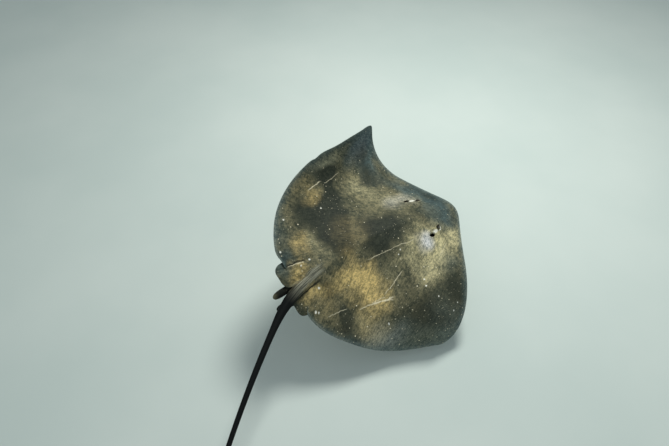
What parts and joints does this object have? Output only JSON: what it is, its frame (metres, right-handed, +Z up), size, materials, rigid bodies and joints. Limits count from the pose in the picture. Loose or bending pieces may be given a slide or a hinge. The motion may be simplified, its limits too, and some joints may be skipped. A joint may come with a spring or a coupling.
{
  "type": "cowtail stingray museum model on a display stand",
  "caption": "Life-size stingray swimming in a banked right turn, one wing raised and the other lowered, on a flat display stand with slim rods.",
  "frame": {"origin": "centre of the underside of the stand's base plate, on the floor", "axes": "+Z up; +Y the way the animal swims, from tail to snout; +X the animal's right side"},
  "size_m": [1.4113, 2.0006, 0.6369],
  "materials": {
    "skin": "smooth damp skin, mottled olive and tan above, white below, near-black on the tail",
    "eye": "wet, glossy",
    "sting": "dry bone",
    "stand_steel": "fine brushed"
  },
  "bodies": {
    "root": {"head": "skin", "trunk": "skin", "pectoral_fin_left": "skin", "pectoral_fin_right": "skin", "pelvic_fin_left": "skin", "pelvic_fin_right": "skin", "clasper_left": "skin", "clasper_right": "skin", "tail_base": "skin", "tail_middle": "skin", "tail_end": "skin", "tail_fold": "skin", "sting": "sting", "eye_left": "eye", "eye_right": "eye", "stand_base": "stand_steel", "stand_rod_front": "stand_steel", "stand_rod_rear": "stand_steel", "stand_collar_front": "stand_steel", "stand_collar_rear": "stand_steel"}
  },
  "joints": []
}
